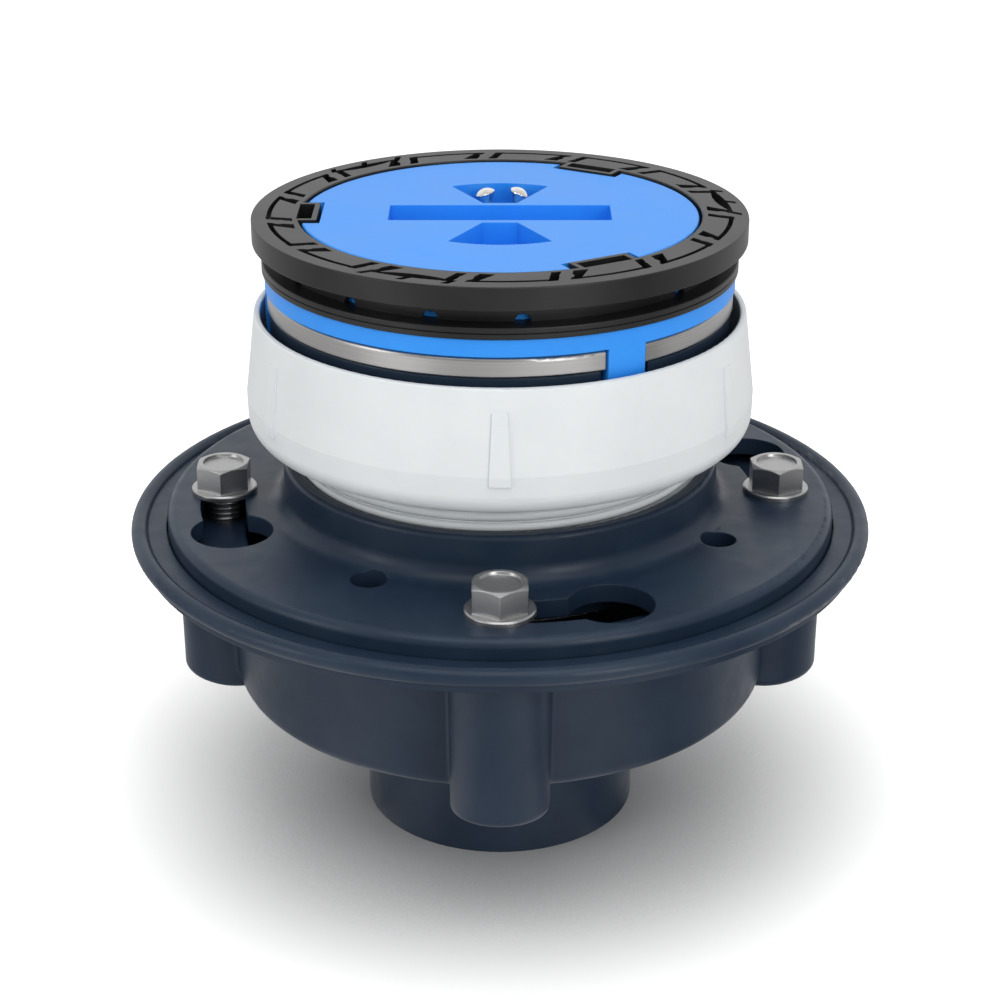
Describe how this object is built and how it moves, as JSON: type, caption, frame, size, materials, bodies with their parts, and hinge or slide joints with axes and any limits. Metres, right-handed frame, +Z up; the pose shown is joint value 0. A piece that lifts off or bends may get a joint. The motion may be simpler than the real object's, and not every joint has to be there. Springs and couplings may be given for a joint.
{
  "type": "adjustable floor drain",
  "caption": "Floor drain body with a clamp collar, a screw-height white adapter cup, a round strainer head and a blue construction cover inside a black spacer ring",
  "frame": {"origin": "centre of the outlet's lower end, on the drain's axis", "axes": "+Z up along the drain's axis, -Y towards the front bolt, +X to the right in the picture's view"},
  "size_m": [0.21, 0.21, 0.179],
  "materials": {
    "coated_iron": "smooth satin coating",
    "coated_frame": "satin coating",
    "bolt_steel": "brushed",
    "screw_steel": "machined",
    "strainer_steel": "satin",
    "polished_steel": "polished",
    "white_plastic": "moulded",
    "blue_plastic": "moulded",
    "black_plastic": "moulded",
    "gasket_rubber": "matte"
  },
  "bodies": {
    "base": {"drain_body": "coated_iron", "clamp_collar": "coated_iron", "clamp_bolt_front": "bolt_steel", "clamp_bolt_right": "bolt_steel", "clamp_bolt_rear": "bolt_steel", "clamp_bolt_left": "bolt_steel"},
    "head": {"head_frame": "coated_frame", "head_gasket": "gasket_rubber", "strainer": "strainer_steel", "strainer_screw_front": "screw_steel", "strainer_screw_rear": "screw_steel"},
    "adapter": {"adapter": "white_plastic"},
    "cover": {"construction_cover": "blue_plastic", "spacer_ring": "black_plastic", "spare_screw_left": "polished_steel", "spare_screw_right": "polished_steel"}
  },
  "joints": [
    {"name": "head_rise", "type": "slide", "parent": "base", "child": "head", "axis": [0, 0, 1], "range_m": [-0.008, 0.016]},
    {"name": "adapter_turn", "type": "hinge", "parent": "head", "child": "adapter", "pos_m": [0, 0, 0.1], "axis": [0, 0, 1], "range_deg": [-907, 1814.1]},
    {"name": "cover_lift", "type": "slide", "parent": "head", "child": "cover", "axis": [0, 0, 1], "range_m": [0, 0.05]}
  ],
  "couplings": [
    {"joint": "head_rise", "follows": "adapter_turn", "m_per_rad": 0.00050532}
  ]
}
